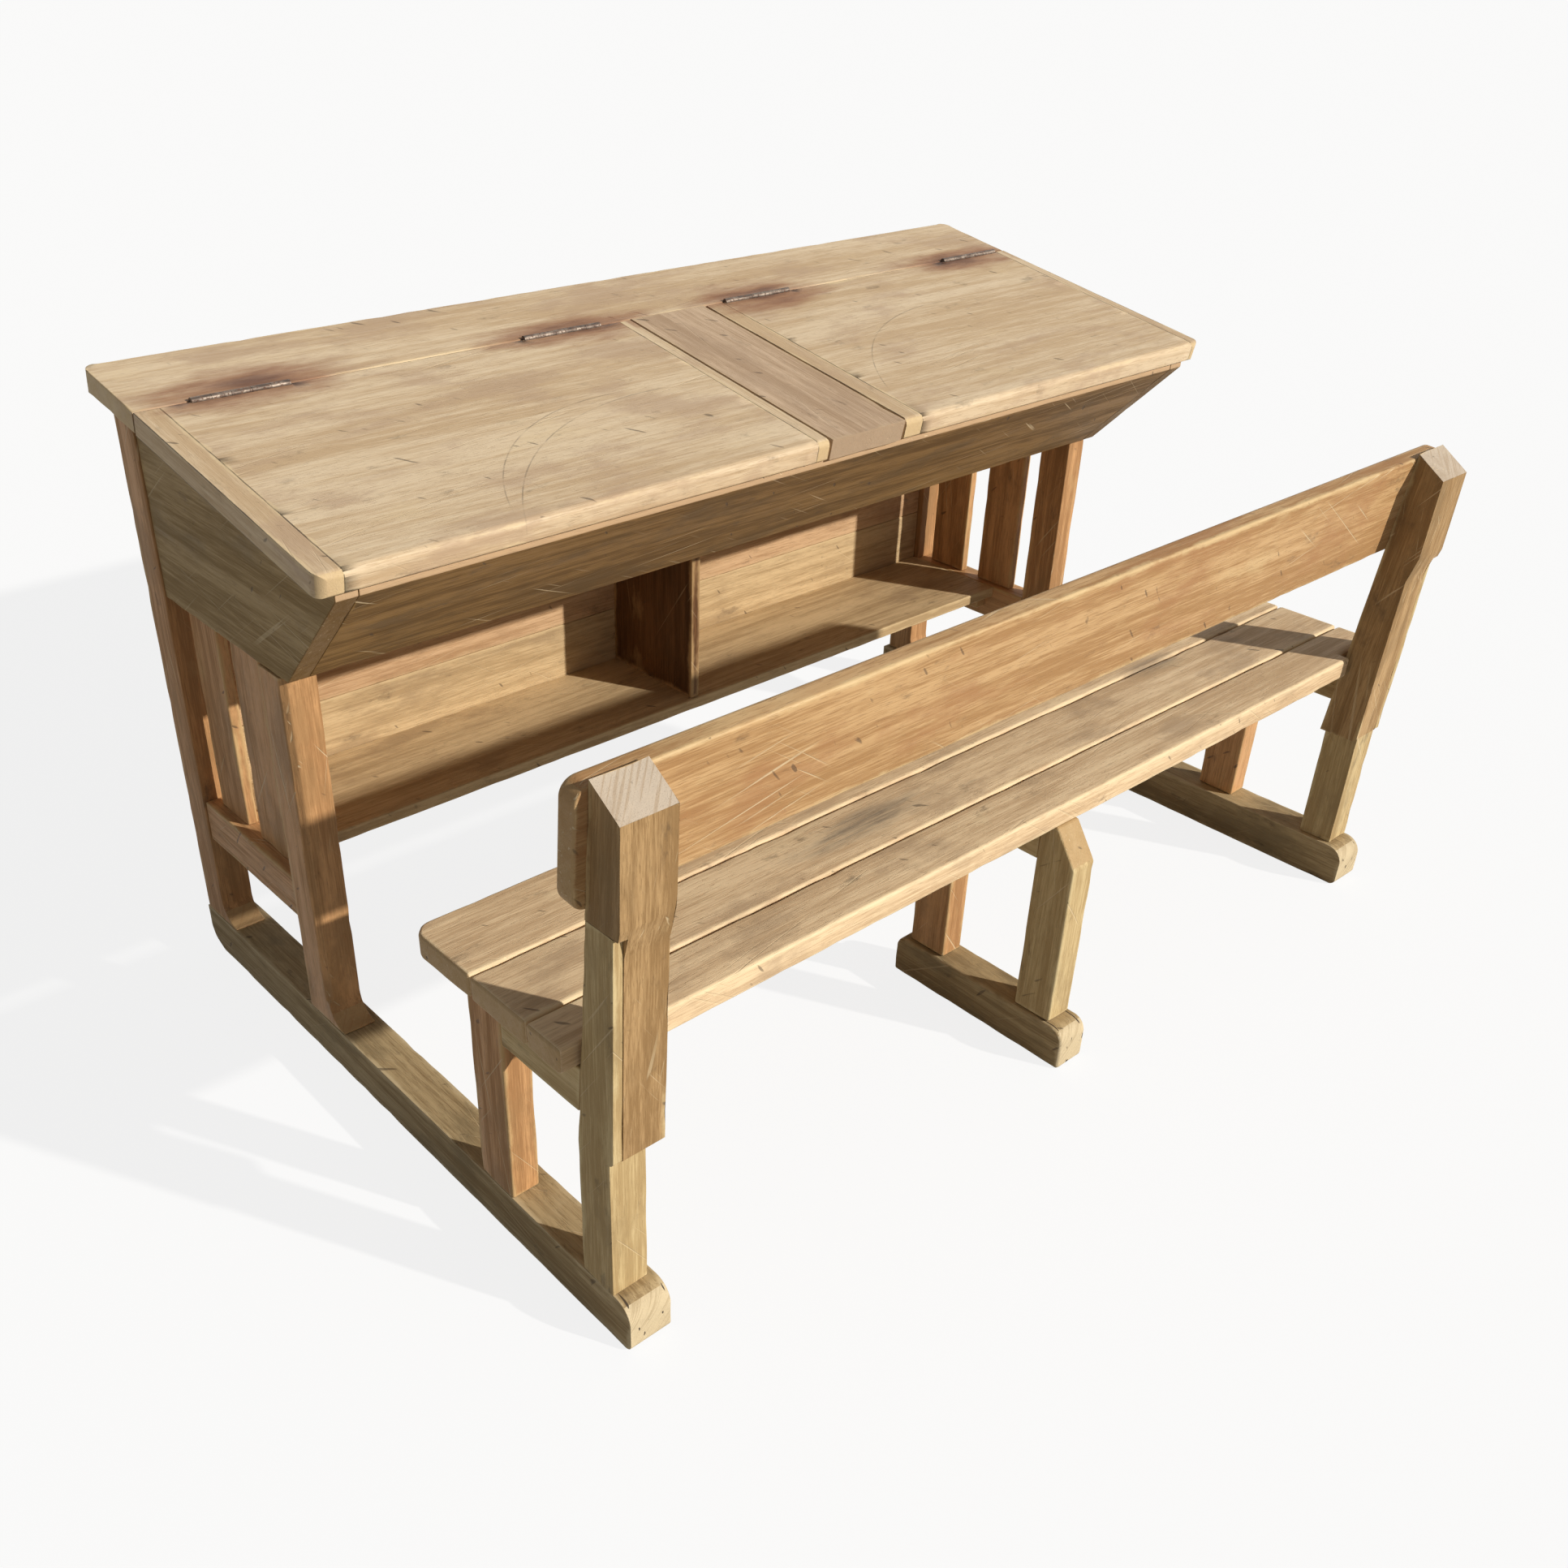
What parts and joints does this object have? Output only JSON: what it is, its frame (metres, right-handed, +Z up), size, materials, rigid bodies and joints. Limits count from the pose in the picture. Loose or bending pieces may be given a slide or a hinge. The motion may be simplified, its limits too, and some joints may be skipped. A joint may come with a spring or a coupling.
{
  "type": "school desk",
  "caption": "Old wooden school desk with sloping lift lids over a book box, an open shelf below and an attached bench with backrest on sled runners.",
  "frame": {"origin": "middle of the floor area under the bounding box", "axes": "+X along the length of the desk, +Y from the bench towards the back of the desk, +Z up"},
  "size_m": [1.2, 0.7938, 0.66],
  "materials": {
    "top_wood": "worn, pale, scratched varnish",
    "batten_wood": "worn, pinkish brown",
    "frame_wood": "old brown varnish, worn on the edges",
    "seat_wood": "worn smooth, grey stains",
    "inner_wood": "dull, unpolished",
    "hinge_steel": "dark, lightly rusted",
    "screw_steel": "dark steel"
  },
  "bodies": {
    "frame": {"apron": "frame_wood", "back_board_lower": "inner_wood", "back_board_upper": "inner_wood", "back_strip": "top_wood", "backrest": "seat_wood", "box_back": "inner_wood", "box_bottom": "inner_wood", "box_partition": "inner_wood", "centre_bar": "batten_wood", "left_back_post": "frame_wood", "left_back_support": "frame_wood", "left_bench_front_leg": "frame_wood", "left_bench_rear_leg": "frame_wood", "left_front_post": "frame_wood", "left_hinge_fixed_leaves": "hinge_steel", "left_hinge_pins": "hinge_steel", "left_rail": "frame_wood", "left_runner": "frame_wood", "left_seat_bearer": "frame_wood", "left_shelf_cleat": "inner_wood", "left_side_panel": "frame_wood", "left_slat_back": "frame_wood", "left_slat_front": "frame_wood", "middle_bench_front_leg": "frame_wood", "middle_bench_rear_leg": "frame_wood", "middle_foot": "frame_wood", "middle_seat_bearer": "frame_wood", "right_back_post": "frame_wood", "right_back_support": "frame_wood", "right_bench_front_leg": "frame_wood", "right_bench_rear_leg": "frame_wood", "right_front_post": "frame_wood", "right_hinge_fixed_leaves": "hinge_steel", "right_hinge_pins": "hinge_steel", "right_rail": "frame_wood", "right_runner": "frame_wood", "right_seat_bearer": "frame_wood", "right_shelf_cleat": "inner_wood", "right_side_panel": "frame_wood", "right_slat_back": "frame_wood", "right_slat_front": "frame_wood", "seat_slat_front": "seat_wood", "seat_slat_middle": "seat_wood", "seat_slat_rear": "seat_wood", "shelf": "inner_wood", "shelf_divider": "inner_wood", "strip_screws": "screw_steel"},
    "left_lid": {"left_hinge_moving_leaves": "hinge_steel", "left_lid_batten_inner": "batten_wood", "left_lid_batten_outer": "batten_wood", "left_lid_panel": "top_wood", "left_lid_screws": "screw_steel"},
    "right_lid": {"right_hinge_moving_leaves": "hinge_steel", "right_lid_batten_inner": "batten_wood", "right_lid_batten_outer": "batten_wood", "right_lid_panel": "top_wood", "right_lid_screws": "screw_steel"}
  },
  "joints": [
    {"name": "left_lid_hinge", "type": "hinge", "parent": "frame", "child": "left_lid", "pos_m": [-0.31, 0.28644, 0.64119], "axis": [-1, 0, 0], "range_deg": [0, 110]},
    {"name": "right_lid_hinge", "type": "hinge", "parent": "frame", "child": "right_lid", "pos_m": [0.344, 0.28644, 0.64119], "axis": [-1, 0, 0], "range_deg": [0, 110]}
  ]
}
